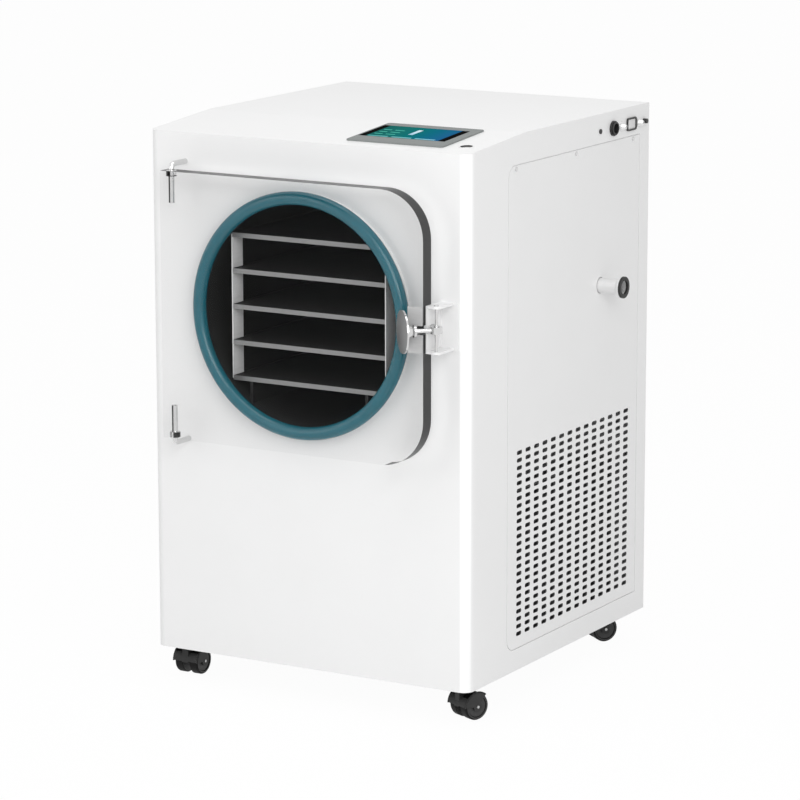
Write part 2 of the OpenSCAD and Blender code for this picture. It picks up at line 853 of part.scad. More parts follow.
// bezel and body of the touch panel in one moulding, with the seat for the screen
module touch_panel_bezel() {
    body_h_below = 28;
    color("silver") stand() on_slope(hmi_x, hmi_y) difference() {
        union() {
            linear_extrude(height = hmi_t) rounded(hmi_w, hmi_d, 6);
            translate([0, 0, -body_h_below / 2 + eps / 2])
                cube([hmi_w - 12, hmi_d - 12, body_h_below + eps], center = true);
        }
        translate([-screen_w / 2, screen_up - screen_d / 2, hmi_t - screen_seat]) cube([screen_w, screen_d, screen_seat + eps]);
    }
}

module touch_panel_screen() {
    color("teal") stand() on_slope(hmi_x, hmi_y)
        translate([-screen_w / 2 + drop_fit, screen_up - screen_d / 2 + drop_fit, hmi_t - screen_seat])
            cube([screen_w - 2 * drop_fit, screen_d - 2 * drop_fit, screen_seat - 0.5]);
}

// raised ring with the threaded barrel below the sheet, blind below the cap
module button_ring() {
    barrel = button_cap_h + button_travel + 6;
    color("silver") stand() on_slope(button_x, button_y) difference() {
        union() {
            cylinder(d = button_ring_d, h = button_ring_h);
            translate([0, 0, -barrel]) cylinder(d = button_ring_d - 3, h = barrel + eps);
        }
        translate([0, 0, button_floor]) cylinder(d = button_cap_d + 4 * run_fit, h = barrel);
    }
}

module button_cap() {
    color("gainsboro") stand() on_slope(button_x, button_y)
        translate([0, 0, button_floor + button_travel + air]) cylinder(d = button_cap_d, h = button_cap_h);
}

// ---------------------------------------------------------------- fittings on the right side

// tube from the drum through the side panel, flared to its clamping flange
module vacuum_port() {
    flare = (port_flange_d - port_tube_d) / 2;
    tube_l = half_w + port_out - port_ring_t - chamber_x;
    color("silver") stand() difference() {
        union() {
            turned_x(chamber_x, port_y, port_z) cylinder(d = port_tube_d, h = tube_l);
            turned_x(chamber_x + tube_l - 3 - flare, port_y, port_z)
                cylinder(d1 = port_tube_d, d2 = port_flange_d, h = flare);
            turned_x(chamber_x + tube_l - 3, port_y, port_z) cylinder(d = port_flange_d, h = 3);
        }
        turned_chamber(0) cylinder(r = drum_or, h = drum_len);
        port_bore(port_bore_d, chamber_x);
    }
}

// black ring that centres the hose clamp's seal on the flange
module vacuum_port_ring() {
    color("black") stand() turned_x(half_w + port_out - port_ring_t, port_y, port_z)
        ring(port_flange_d / 2, port_bore_d / 2 + 1, port_ring_t);
}

// round black socket with its barrel through the sheet
module signal_socket() {
    color("black") stand() difference() {
        turned_x(half_w - 14, socket_y, row_z) {
            cylinder(d = socket_d - 6, h = 14 + eps);
            translate([0, 0, 14]) cylinder(d = socket_d, h = 4);
            translate([0, 0, 14]) cylinder(d = socket_d - 4, h = socket_out);
        }
        turned_x(half_w - 6, socket_y, row_z) cylinder(d = socket_d - 9, h = 6 + socket_out + eps);
    }
}

// barbed hose nozzle in (radius, length), bored right through
module hose_nozzle() {
    tip = nozzle_d / 2;
    barb = (nozzle_out - 6) / 3;
    difference() {
        union() {
            translate([0, 0, -10]) cylinder(d = nozzle_d - 3, h = 10 + eps);
            cylinder(d = nozzle_d + 6, h = 4, $fn = 6);
            cylinder(r = tip - 1.5, h = nozzle_out - eps);
            for (k = [0 : 2]) translate([0, 0, 6 + k * barb]) cylinder(r1 = tip, r2 = tip - 1.5, h = barb);
        }
        translate([0, 0, -10 - eps]) cylinder(d = nozzle_bore_d - 2, h = nozzle_out + 10 + 2 * eps);
    }
}

module hose_nozzles() {
    color("silver") stand() for (y = nozzle_y) turned_x(half_w, y, row_z) hose_nozzle();
}

module data_port() {
    color("dimgray") stand() translate([half_w, data_port_y, row_z]) difference() {
        union() {
            translate([0, -data_port_w / 2, -data_port_w / 2]) cube([3, data_port_w, data_port_w]);
            translate([-12, -data_port_w / 2 + 2, -data_port_w / 2 + 2])
                cube([12 + eps, data_port_w - 4, data_port_w - 4]);
        }
        translate([-6, -7, -6]) cube([12, 14, 12]);
    }
}

module blanking_plugs() {
    color("black") stand() for (y = plug_y) {
        turned_x(half_w - 6, y, row_z) cylinder(d = 4, h = 6 + eps);
        turned_x(half_w, y, row_z) cylinder(d = 9, h = y == plug_y[1] ? 8 : 2);
    }
}

// flush mains inlet on the rear panel with its three pins; the cord is not part of the build
module power_inlet() {
    color("black") stand() translate([inlet_x, body_d, inlet_z]) {
        difference() {
            union() {
                translate([-25, 0, -15]) cube([50, inlet_t, 30]);
                translate([-17, -26, -12]) cube([34, 26 + eps, 24]);
            }
            translate([-13, -16, -8]) cube([26, 16 + inlet_t + eps, 16]);
        }
        for (x = [-7, 0, 7]) translate([x - 1, -16 - eps, x == 0 ? 1 : -5]) cube([2, 14, 5]);
    }
}

// ---------------------------------------------------------------- refrigeration set

// open-fronted core: end plates, upright fins and the tubes that thread them
module condenser() {
    pitch = (condenser_w - 3) / (fin_count + 1);
    color("darkgray") stand() translate([condenser_x, panel_mid - condenser_w / 2, machine_z]) {
        for (z = [0, condenser_h - 3]) translate([0, 0, z]) cube([condenser_t, condenser_w, 3]);
        for (k = [0 : fin_count + 1]) {
            translate([0, k * pitch, eps]) cube([condenser_t, k == 0 || k == fin_count + 1 ? 3 : 1.5, condenser_h - 2 * eps]);
        }
        for (k = [1 : 5]) {
            translate([condenser_t / 2, -4, k * condenser_h / 6]) rotate([-90, 0, 0]) cylinder(d = 9, h = condenser_w + 8);
        }
    }
}

// plate and duct on the condenser's inner face, with the arms that hold the fan's motor and shaft
module fan_shroud() {
    arm_r = duct_r + shroud_t;
    color("dimgray") stand() {
        difference() {
            union() {
                translate([condenser_x - shroud_t, panel_mid - condenser_w / 2, machine_z])
                    cube([shroud_t, condenser_w, condenser_h]);
                turned_x(condenser_x - duct_l, panel_mid, fan_z) cylinder(r = arm_r, h = duct_l);
            }
            turned_x(condenser_x - duct_l - eps, panel_mid, fan_z) cylinder(r = duct_r, h = duct_l + 2 * eps);
        }
        turned_x(condenser_x - duct_l, panel_mid, fan_z) {
            for (a = [30 : 120 : 270]) rotate([0, 0, a]) translate([0, -8, 2]) cube([duct_r + 1, 16, 5]);
            translate([0, 0, -40]) cylinder(r = hub_r, h = 49);
            cylinder(d = 8, h = duct_l - 10);
        }
    }
}

// hub and pitched blades, turning on the motor's shaft inside the duct
module fan() {
    hub_l = 24;
    color("black") stand() turned_x(fan_x, panel_mid, fan_z) difference() {
        union() {
            translate([0, 0, -hub_l / 2]) cylinder(r = hub_r, h = hub_l);
            intersection() {
                for (k = [0 : fan_blades - 1]) rotate([0, 0, k * 360 / fan_blades]) {
                    translate([fan_d / 4, 0, 0]) rotate([blade_angle, 0, 0]) cube([fan_d / 2, 50, 2], center = true);
                }
                translate([0, 0, -hub_l]) ring(fan_d / 2, hub_r - 2, 2 * hub_l);
            }
        }
        translate([0, 0, -hub_l]) cylinder(d = 8 + 2 * run_fit, h = 2 * hub_l);
    }
}

// domed shell on its foot plate, with the terminal box and the two pipe stubs
module compressor() {
    r = compressor_d / 2;
    lift = 16;
    color("darkslategray") stand() translate([-120, body_d - 260, machine_z]) {
        translate([-110, -90, 0]) cube([220, 180, 4]);
        cylinder(r = 0.6 * r, h = lift + compressor_h / 3);
        translate([0, 0, lift]) intersection() {
            cylinder(r = r, h = compressor_h);
            translate([0, 0, compressor_h / 2]) sphere(r = compressor_h / 2);
        }
        translate([r - 12, -25, lift + compressor_h / 2 - 25]) cube([40, 50, 60]);
        for (s = [-1, 1]) translate([s * r / 2, 0, lift + compressor_h / 2]) cylinder(d = 12, h = compressor_h / 2 + 20);
    }
}

// ---------------------------------------------------------------- castors

module at_castor(k) {
    translate([castor_x[k], castor_y[k], 0]) children();
}

// square top plate with its swivel race and king pin, bolted under the base
module castor_plate(k) {
    hole_at = plate_w / 2 - 6;
    color("silver") stand() at_castor(k) {
        translate([0, 0, castor_h - plate_t]) linear_extrude(height = plate_t) difference() {
            rounded(plate_w, plate_w, 5);
            for (x = [-1, 1], y = [-1, 1]) translate([x * hole_at, y * hole_at]) circle(d = 5);
        }
        translate([0, 0, race_z]) cylinder(r = race_r, h = race_t + eps);
        translate([0, 0, king_z]) cylinder(d = king_d, h = race_z - king_z + eps);
    }
}

// side view of the housing's web in (Y, Z), trailing towards +Y
module web_outline() {
    translate([castor_trail, wheel_r]) circle(r = 9);
    translate([-king_d / 2 - 3, king_z - 2]) square([king_d + 6, housing_top - king_z]);
    intersection() {
        translate([castor_trail, wheel_r]) circle(r = hood_out);
        translate([-wheel_r, wheel_r]) square([wheel_r + castor_trail + 9, hood_out]);
    }
}

// the hood's arc over the wheels, from low in front to past the crown
module hood_outline() {
    difference() {
        translate([castor_trail, wheel_r]) circle(r = hood_out);
        translate([castor_trail, wheel_r]) circle(r = hood_in);
        translate([castor_trail, wheel_r]) rotate(50) translate([0, -2 * hood_out]) square(4 * hood_out);
        translate([-2 * hood_out, -hood_out]) square([4 * hood_out, wheel_r + hood_out + 2]);
    }
}

// housing of one castor: web between the wheels, hood, swivel boss and fixed axle
module castor_housing(k) {
    overall = web_gap + 2 * wheel_w;
    color("dimgray") stand() at_castor(k) rotate([0, 0, castor_turn[k]]) {
        difference() {
            union() {
                along_x(-web_t_castor / 2, web_t_castor) web_outline();
                along_x(-overall / 2, overall) hood_outline();
                translate([0, 0, housing_top - 5]) cylinder(r = race_r - 1, h = 5);
            }
            translate([0, 0, king_z - swivel_gap]) cylinder(d = king_d + 2 * run_fit, h = castor_h);
        }
        turned_x(-overall / 2 + 1, castor_trail, wheel_r) cylinder(d = axle_d, h = overall - 2);
    }
}

// one wheel, turned about its axle from the face beside the web outwards
module wheel(k, side) {
    color("black") stand() at_castor(k) rotate([0, 0, castor_turn[k]]) mirror([side, 0, 0])
        turned_x(web_gap / 2, castor_trail, wheel_r) rotate_extrude() polygon([
            [axle_d / 2 + run_fit, 0], [wheel_r - 1.5, 0], [wheel_r, 1.5], [wheel_r, wheel_w - 3],
            [wheel_r - 1, wheel_w - 1], [wheel_r - 3, wheel_w], [wheel_r - 5, wheel_w],
            [wheel_r - 6.5, wheel_w - 1.5], [axle_d + 2, wheel_w - 1.5], [axle_d + 1, wheel_w],
            [axle_d / 2 + run_fit, wheel_w]
        ]);
}

module castor_plate_fr() {
    castor_plate(0);
}

module castor_plate_fl() {
    castor_plate(1);
}

module castor_plate_rr() {
    castor_plate(2);
}

module castor_plate_rl() {
    castor_plate(3);
}

module castor_housing_fr() {
    castor_housing(0);
}

module castor_housing_fl() {
    castor_housing(1);
}

module castor_housing_rr() {
    castor_housing(2);
}

module castor_housing_rl() {
    castor_housing(3);
}

module wheel_fr_a() {
    wheel(0, 0);
}

module wheel_fr_b() {
    wheel(0, 1);
}

module wheel_fl_a() {
    wheel(1, 0);
}

module wheel_fl_b() {
    wheel(1, 1);
}

module wheel_rr_a() {
    wheel(2, 0);
}

module wheel_rr_b() {
    wheel(2, 1);
}

module wheel_rl_a() {
    wheel(3, 0);
}

module wheel_rl_b() {
    wheel(3, 1);
}

// ---------------------------------------------------------------- the nodes

shell();
top_cover();
rear_panel();
base_plate();
right_access_panel();
left_access_panel();
panel_screws();
chamber_deck();
chamber_drum();
chamber_jacket();
door_gasket();
rack_side_left();
rack_side_right();
shelf_1();
shelf_2();
shelf_3();
shelf_4();
shelf_5();
hinge_pins();
hinge_bushes();
door();
strike_plate();
latch_bracket();
latch_pin();
swing_bolt();
clamp_washer();
clamp_knob();
touch_panel_bezel();
touch_panel_screen();
button_ring();
button_cap();
vacuum_port();
vacuum_port_ring();
signal_socket();
hose_nozzles();
data_port();
blanking_plugs();
power_inlet();
condenser();
fan_shroud();
fan();
compressor();
castor_plate_fr();
castor_plate_fl();
castor_plate_rr();
castor_plate_rl();
castor_housing_fr();
castor_housing_fl();
castor_housing_rr();
castor_housing_rl();
wheel_fr_a();
wheel_fr_b();
wheel_fl_a();
wheel_fl_b();
wheel_rr_a();
wheel_rr_b();
wheel_rl_a();
wheel_rl_b();
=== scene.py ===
import json
import math

import bmesh
import bpy
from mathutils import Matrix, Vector

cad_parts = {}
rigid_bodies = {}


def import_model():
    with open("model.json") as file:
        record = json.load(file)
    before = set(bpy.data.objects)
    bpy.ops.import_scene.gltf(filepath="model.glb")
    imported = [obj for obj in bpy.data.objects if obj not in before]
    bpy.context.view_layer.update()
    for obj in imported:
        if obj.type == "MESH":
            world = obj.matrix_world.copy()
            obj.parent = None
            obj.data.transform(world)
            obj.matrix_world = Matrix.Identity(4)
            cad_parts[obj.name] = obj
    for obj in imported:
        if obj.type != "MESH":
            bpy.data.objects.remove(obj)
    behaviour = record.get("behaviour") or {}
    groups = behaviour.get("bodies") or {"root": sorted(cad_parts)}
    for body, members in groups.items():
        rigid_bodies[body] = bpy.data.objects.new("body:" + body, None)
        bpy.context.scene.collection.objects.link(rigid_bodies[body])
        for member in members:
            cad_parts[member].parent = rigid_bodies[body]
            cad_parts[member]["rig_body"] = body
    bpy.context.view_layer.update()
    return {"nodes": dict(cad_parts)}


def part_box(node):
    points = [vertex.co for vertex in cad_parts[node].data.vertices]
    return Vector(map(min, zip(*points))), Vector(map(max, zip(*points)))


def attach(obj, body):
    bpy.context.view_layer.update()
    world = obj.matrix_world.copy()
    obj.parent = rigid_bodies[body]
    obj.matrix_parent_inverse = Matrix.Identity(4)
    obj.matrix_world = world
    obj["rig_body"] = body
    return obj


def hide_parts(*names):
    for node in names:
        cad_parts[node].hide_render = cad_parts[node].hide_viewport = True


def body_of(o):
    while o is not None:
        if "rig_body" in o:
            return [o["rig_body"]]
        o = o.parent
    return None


# The freeze dryer's looks: a material for every CAD node, the forms that the solids lack, and the studio.

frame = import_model()
NODES = frame["nodes"]
MM = 0.001


# ------------------------------------------------------------------ materials


def grey(value):
    """A written sRGB grey, 0 to 255, as the linear colour that renders as that grey."""
    return rgb(value, value, value)


def rgb(r, g, b):
    """A written sRGB colour, 0 to 255, as a linear RGBA tuple."""
    def linear(v):
        v /= 255
        return v / 12.92 if v <= 0.04045 else ((v + 0.055) / 1.055) ** 2.4
    return (linear(r), linear(g), linear(b), 1.0)


def mixed(colour, factor):
    """The same colour made lighter (factor over 1) or darker (under 1)."""
    return tuple(min(1.0, c * factor) for c in colour[:3]) + (1.0,)


class Shader:
    """A node material built up step by step round one Principled shader."""

    def __init__(self, name):
        self.mat = bpy.data.materials.new(name)
        self.mat.use_nodes = True
        self.tree = self.mat.node_tree
        self.bsdf = self.tree.nodes["Principled BSDF"]
        self.coords = self.tree.nodes.new("ShaderNodeTexCoord").outputs["Object"]

    def node(self, kind, **settings):
        """A new node with some of its properties set."""
        n = self.tree.nodes.new(kind)
        for key, value in settings.items():
            setattr(n, key, value)
        return n

    def link(self, a, b):
        self.tree.links.new(a, b)

    def noise(self, scale, detail=3.0, stretch=(1, 1, 1)):
        """Noise in object space, metres, as a 0 to 1 value; stretch squeezes it along an axis."""
        place = self.node("ShaderNodeMapping")
        place.inputs["Scale"].default_value = stretch
        self.link(self.coords, place.inputs["Vector"])
        n = self.node("ShaderNodeTexNoise")
        n.inputs["Scale"].default_value = scale
        n.inputs["Detail"].default_value = detail
        self.link(place.outputs["Vector"], n.inputs["Vector"])
        return n.outputs["Fac"]

    def ramp(self, value, low, high):
        """A colour that goes from low to high over the middle range of a noise."""
        n = self.node("ShaderNodeValToRGB")
        for stop, place, colour in zip(n.color_ramp.elements, (0.3, 0.7), (low, high)):
            stop.position = place
            stop.color = colour
        self.link(value, n.inputs["Fac"])
        return n.outputs["Color"]

    def scaled(self, value, low, high):
        """A 0 to 1 value spread from low to high."""
        n = self.node("ShaderNodeMapRange")
        n.inputs["To Min"].default_value = low
        n.inputs["To Max"].default_value = high
        self.link(value, n.inputs["Value"])
        return n.outputs["Result"]

    def bump(self, value, strength, distance):
        """Raises and lowers the surface by a value, by at most a distance in metres."""
        n = self.node("ShaderNodeBump")
        n.inputs["Strength"].default_value = strength
        n.inputs["Distance"].default_value = distance
        self.link(value, n.inputs["Height"])
        self.link(n.outputs["Normal"], self.bsdf.inputs["Normal"])

    def set(self, **values):
        """Sets plain inputs of the Principled shader, with an underscore for each space in a name."""
        for key, value in values.items():
            self.bsdf.inputs[key.replace("_", " ")].default_value = value


def surface(name, colour, rough, metal=0.0, vary=0.03, grain=60, bump=0.05, bump_scale=900,
            stretch=(1, 1, 1), **more):
    """Colour and roughness drift slowly over the surface, with a fine bump of its own scale."""
    s = Shader(name)
    drift = s.noise(grain, 4, stretch)
    s.link(s.ramp(drift, mixed(colour, 1 - vary), mixed(colour, 1 + vary)), s.bsdf.inputs["Base Color"])
    s.link(s.scaled(drift, rough * 0.85, min(1.0, rough * 1.15)), s.bsdf.inputs["Roughness"])
    s.bump(s.noise(bump_scale, 2, stretch), bump, 0.0002)
    s.set(Metallic=metal, **more)
    return s.mat


# grain that is finer along one axis
FINE_X, FINE_Z, FINEST_Z = (10, 1, 1), (1, 1, 10), (1, 1, 14)

# sheet metal
# painted highlight: lighter, glossier paint where light catches the right front bend and the top's front edge
PAINTED_HIGHLIGHT_BEND = surface("painted_highlight_on_bends", grey(250), 0.22, vary=0.004, grain=9, bump=0.03, bump_scale=1400)
PAINT = surface("white_powder_coat", grey(236), 0.34, vary=0.006, grain=9, bump=0.04, bump_scale=1400)
PANEL_PAINT = surface("panel_powder_coat", grey(235), 0.38, vary=0.008, grain=9, bump=0.04, bump_scale=1400)
# painted shade: the grey on the access panels' slot walls stands in for the shade inside the slots
SLOT_WALL_PAINTED_SHADE = surface("panel_slot_painted_shade", grey(104), 0.5, vary=0.04, grain=30, bump=0.03)
ZINC = surface("zinc_plate", grey(150), 0.42, metal=0.9, vary=0.08, grain=30)

# chamber, rack and door
CHAMBER = surface("chamber_black", grey(20), 0.7, vary=0.15, grain=12)
FOAM = surface("insulation_foam", rgb(214, 198, 150), 0.9, vary=0.08, grain=80, bump=0.4, bump_scale=300)
GASKET = surface("gasket_rubber", rgb(30, 98, 112), 0.24, vary=0.05, grain=25)
# black of the heater mats, also used on the shelves' side and rear edges as painted shade
BLACK_MAT_AND_PAINTED_SHADE = surface("heater_mat_black_and_painted_shade", grey(26), 0.6, vary=0.15, grain=40)
SHELF_EDGE = surface("shelf_edge", grey(140), 0.45, metal=0.45, vary=0.05, grain=30, stretch=FINE_X)
# painted shade: the dark on the door's right and top edges stands in for the dark look that inner reflections
# give clear acrylic
ACRYLIC_EDGE_PAINTED_SHADE = surface("acrylic_edge_painted_shade", grey(47), 0.3, vary=0.05, grain=25, bump=0.03,
                    Specular_IOR_Level=0.25)

# latch and fittings
CHROME = surface("polished_steel", grey(214), 0.16, metal=1.0, grain=50, bump=0.01)
SATIN = surface("satin_steel", grey(232), 0.30, metal=0.6, grain=40, stretch=FINEST_Z, bump=0.03)
PLATE = surface("brushed_plate", grey(198), 0.42, metal=0.35, vary=0.04, grain=40, stretch=FINE_Z, bump=0.03)
WEB = surface("bracket_web", grey(222), 0.42, metal=0.2, vary=0.04, grain=40, stretch=FINE_Z, bump=0.03)
KNOB_FACE = surface("turned_knob_face", grey(168), 0.42, metal=0.8, vary=0.04, grain=30, bump=0.02)
BLACK_PLASTIC = surface("black_plastic", grey(34), 0.45, vary=0.1, grain=40, bump=0.08)
PORT_COVER = surface("pale_port_cover", grey(222), 0.4, vary=0.02, bump=0.03)
SEAL_BLACK = surface("port_seal_black", grey(24), 0.55, vary=0.1)

# controls
BUTTON = surface("pale_button", grey(228), 0.35, vary=0.02, bump=0.03)
# painted shade: the dark grey lining of the button's well stands in for the shade in the recess
BUTTON_WELL_PAINTED_SHADE = surface("button_well_painted_shade", grey(60), 0.5, vary=0.05)
BEZEL = surface("bezel_grey", rgb(131, 135, 134), 0.6, vary=0.02, grain=30, bump=0.06, bump_scale=1800,
                Specular_IOR_Level=0.2)
SCREEN_BLACK = surface("screen_border_black", grey(20), 0.35, vary=0.05, grain=25, bump=0.02,
                       Specular_IOR_Level=0.0)

# machine compartment
FINS = surface("condenser_aluminium", grey(120), 0.5, metal=0.5, vary=0.08)
FRAME_GREY = surface("fan_frame_grey", grey(70), 0.5, vary=0.08, grain=30)
COMPRESSOR = surface("compressor_black", grey(30), 0.3, vary=0.08, grain=20)

# castors
CASTOR_GREY = surface("castor_housing_grey", grey(46), 0.5, vary=0.06, bump=0.06, Specular_IOR_Level=0.3)
TYRE = surface("castor_tyre_black", grey(11), 0.6, vary=0.08, grain=80, bump=0.1, Specular_IOR_Level=0.2)
WHEEL_FACE = surface("castor_wheel_grey", grey(46), 0.5, vary=0.06)
AXLE = surface("axle_end", grey(190), 0.35, metal=0.8, vary=0.05, grain=90)


def split(name, near, far, y_limit, rough):
    """One colour in front of a plane across Y and another behind it."""
    s = Shader(name)
    drift = s.noise(30, 3, (1, 1, 8))
    place = s.node("ShaderNodeSeparateXYZ")
    s.link(s.coords, place.inputs[0])
    behind = s.node("ShaderNodeMath", operation="GREATER_THAN")
    s.link(place.outputs["Y"], behind.inputs[0])
    behind.inputs[1].default_value = y_limit
    mix = s.node("ShaderNodeMix", data_type="RGBA")
    s.link(behind.outputs[0], mix.inputs["Factor"])
    s.link(s.ramp(drift, mixed(near, 0.96), mixed(near, 1.04)), mix.inputs[6])
    mix.inputs[7].default_value = far
    s.link(mix.outputs[2], s.bsdf.inputs["Base Color"])
    s.link(s.scaled(drift, rough * 0.85, rough * 1.15), s.bsdf.inputs["Roughness"])
    return s.mat


def clear_acrylic():
    """Clear sheet that light passes straight through, so what is behind it stays lit and keeps its colour."""
    s = Shader("clear_acrylic")
    tint = s.noise(4, 2)
    s.link(s.ramp(tint, grey(70), grey(84)), s.bsdf.inputs["Base Color"])
    s.link(s.scaled(tint, 0.05, 0.10), s.bsdf.inputs["Roughness"])
    s.set(Alpha=0.03)
    return s.mat


ACRYLIC = clear_acrylic()


# ------------------------------------------------------------------ what each CAD node wears

CORNERS = ("fr", "fl", "rr", "rl")


def middle(node):
    lo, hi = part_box(node)
    return (lo + hi) / 2


def coat(node, base, *choices):
    """Gives a CAD node its material, and its faces another one where a test of centre and normal says so."""
    mesh = NODES[node].data
    mesh.materials.clear()
    mesh.materials.append(base)
    for index, (mat, _) in enumerate(choices, 1):
        mesh.materials.append(mat)
    for face in mesh.polygons:
        face.material_index = 0
        for index, (_, test) in enumerate(choices, 1):
            if test(face.center, face.normal):
                face.material_index = index


def coat_all(names, base, *choices):
    for name in names:
        coat(name, base, *choices)


def coat_panel(node):
    """Painted sheet, with painted shade on the walls of its slots but not round its outline."""
    (_, y0, z0), (_, y1, z1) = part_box(node)
    rim = 9 * MM
    # the slot walls get the grey of the painted shade
    coat(node, PANEL_PAINT, (SLOT_WALL_PAINTED_SHADE, lambda c, n: abs(n.x) < 0.5 and y0 + rim < c.y < y1 - rim
                             and z0 + rim < c.z < z1 - rim))


def coat_cabinet():
    """White paint with a painted highlight on the right front bend and on the top's front bevel, and a
    zinc-plated base.
    """
    coat("rear_panel", PAINT)
    # painted highlight on the right front bend only, and on the bevel along the top's front edge
    coat("shell", PAINT, (PAINTED_HIGHLIGHT_BEND, lambda c, n: n.x > 0.1 and n.y < -0.35))
    coat("top_cover", PAINT, (PAINTED_HIGHLIGHT_BEND, lambda c, n: n.y < -0.4 and n.z > 0.4))
    coat_panel("right_access_panel")
    coat_panel("left_access_panel")
    coat("panel_screws", CHROME)
    coat_all(["base_plate", "chamber_deck"] + [f"castor_plate_{corner}" for corner in CORNERS], ZINC)


def coat_chamber():
    """Black inside, painted outside, in foam, with the coloured gasket on its rim."""
    axis = middle("door_gasket")
    lo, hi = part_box("chamber_jacket")
    foam_t = 25 * MM
    drum_r = (hi.x - lo.x) / 2 - foam_t
    coat("chamber_drum", CHAMBER,
         (PAINT, lambda c, n: math.hypot(c.x - axis.x, c.z - axis.z) > drum_r + 0.5 * MM))
    coat("chamber_jacket", FOAM)
    coat("door_gasket", GASKET)


def coat_rack():
    """Bright frames that a painted shade turns near-black behind their front strip, and black shelves whose
    sides and rear edges are also black as painted shade, with bare front edges.
    """
    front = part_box("rack_side_left")[0].y
    # painted shade: the frames go near-black more than 34 mm behind their front, standing in for the
    # chamber's depth
    frame_metal_with_painted_shade = split("rack_aluminium_with_painted_shade", grey(226), grey(24), front + 34 * MM, 0.45)
    coat_all(["rack_side_left", "rack_side_right"], frame_metal_with_painted_shade)
    # the shelves' side and rear edges keep the black as painted shade, and only the front edge shows bare
    # metal
    coat_all([f"shelf_{k}" for k in range(1, 6)], BLACK_MAT_AND_PAINTED_SHADE,
             (SHELF_EDGE, lambda c, n: n.y < -0.9 and c.y < front + 1 * MM))


def coat_door():
    """Clear sheet whose right and top edges are painted dark as shade, standing in for the dark look that
    inner reflections give the acrylic's edges, and the bright steel of its hinges and latch.
    """
    coat("door", ACRYLIC, (ACRYLIC_EDGE_PAINTED_SHADE, lambda c, n: n.x > 0.12 or (abs(n.y) < 0.5 and n.z > 0.5)))
    coat_all(["hinge_pins", "latch_pin", "swing_bolt", "clamp_washer"], CHROME)
    coat("hinge_bushes", CHROME, (BLACK_PLASTIC, lambda c, n: n.x > 0.2))
    coat("strike_plate", PLATE)
    coat("latch_bracket", PAINT, (WEB, lambda c, n: n.x < -0.9))
    knob_end = Vector((-1, -1, 0)).normalized()
    coat("clamp_knob", CHROME, (KNOB_FACE, lambda c, n: n.dot(knob_end) > 0.94))


def coat_fittings():
    coat("vacuum_port", SATIN)
    coat("vacuum_port_ring", SEAL_BLACK)
    coat_all(["signal_socket", "blanking_plugs", "power_inlet", "fan"], BLACK_PLASTIC)
    coat("condenser", FINS)
    coat("fan_shroud", FRAME_GREY)
    coat("compressor", COMPRESSOR)


def coat_castor(corner):
    """Grey housing with bare axle ends, black tyres with grey faces."""
    a, b = middle(f"wheel_{corner}_a"), middle(f"wheel_{corner}_b")
    along, centre = (a - b).normalized(), (a + b) / 2
    housing = f"castor_housing_{corner}"
    reach = max(abs((v.co - centre).dot(along)) for v in NODES[housing].data.vertices)
    coat(housing, CASTOR_GREY,
         (AXLE, lambda c, n: abs(n.dot(along)) > 0.9 and abs((c - centre).dot(along)) > reach - 0.5 * MM))
    coat_all([f"wheel_{corner}_a", f"wheel_{corner}_b"], TYRE,
             (WHEEL_FACE, lambda c, n: abs(n.dot(along)) > 0.9))


coat_cabinet()
coat_chamber()
coat_rack()
coat_door()
coat_fittings()
for corner in CORNERS:
    coat_castor(corner)


# ------------------------------------------------------------------ forms that the solids lack


class Form:
    """One rigid piece of the scene, built up from prisms and turned solids; all its sizes are in mm."""

    def __init__(self, *mats):
        self.bm = bmesh.new()
        self.mats = mats

    def skin(self, rings, slot, closed):
        """Walls from each loop of points to the next, and two end caps unless the last joins the first."""
        loops = [[self.bm.verts.new(p) for p in ring] for ring in rings]
        faces = []
        for low, high in zip(loops, loops[1:] + loops[:1] * closed):
            for i in range(len(low)):
                j = (i + 1) % len(low)
                faces.append(self.bm.faces.new((low[i], low[j], high[j], high[i])))
        if not closed:
            faces += [self.bm.faces.new(loops[-1]), self.bm.faces.new(loops[0][::-1])]
        for face in faces:
            face.material_index = slot

    def prism(self, outline, at, u, v, depth, slot=0, hole=None):
        """An outline along u and v, with a hole of as many points if one is given, pushed out along u x v."""
        out = u.cross(v) * depth * MM
        flat = [at + u * a * MM + v * b * MM for a, b in outline]
        if hole is None:
            self.skin([flat, [p + out for p in flat]], slot, False)
        else:
            well = [at + u * a * MM + v * b * MM for a, b in hole]
            self.skin([flat, [p + out for p in flat], [p + out for p in well], well], slot, True)

    def turned(self, profile, at, u, v, slot=0):
        """A closed profile of radius and height, turned round the axis u x v."""
        axis = u.cross(v)
        rings = []
        turns = [2 * math.pi * k / TURN_SIDES for k in range(TURN_SIDES)]
        for r, h in profile:
            rings.append([at + (u * r * math.cos(t) + v * r * math.sin(t) + axis * h) * MM for t in turns])
        self.skin(rings, slot, True)

    def place(self, name, like, *nodes):
        """Puts the piece on the body that the CAD node like rides, standing for the nodes that are named."""
        bmesh.ops.recalc_face_normals(self.bm, faces=self.bm.faces)
        mesh = bpy.data.meshes.new(name)
        self.bm.to_mesh(mesh)
        self.bm.free()
        for mat in self.mats:
            mesh.materials.append(mat)
        obj = bpy.data.objects.new(name, mesh)
        bpy.context.scene.collection.objects.link(obj)
        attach(obj, body_of(NODES[like])[0])
        if nodes:
            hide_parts(*nodes)


TURN_SIDES = 48
X, Y, Z = Vector((1, 0, 0)), Vector((0, 1, 0)), Vector((0, 0, 1))


def arc(r, start, stop, steps=24):
    """Points on a circle round the origin, from one angle to another, in degrees."""
    turns = [math.radians(start + (stop - start) * k / steps) for k in range(steps + 1)]
    return [(r * math.cos(t), r * math.sin(t)) for t in turns]


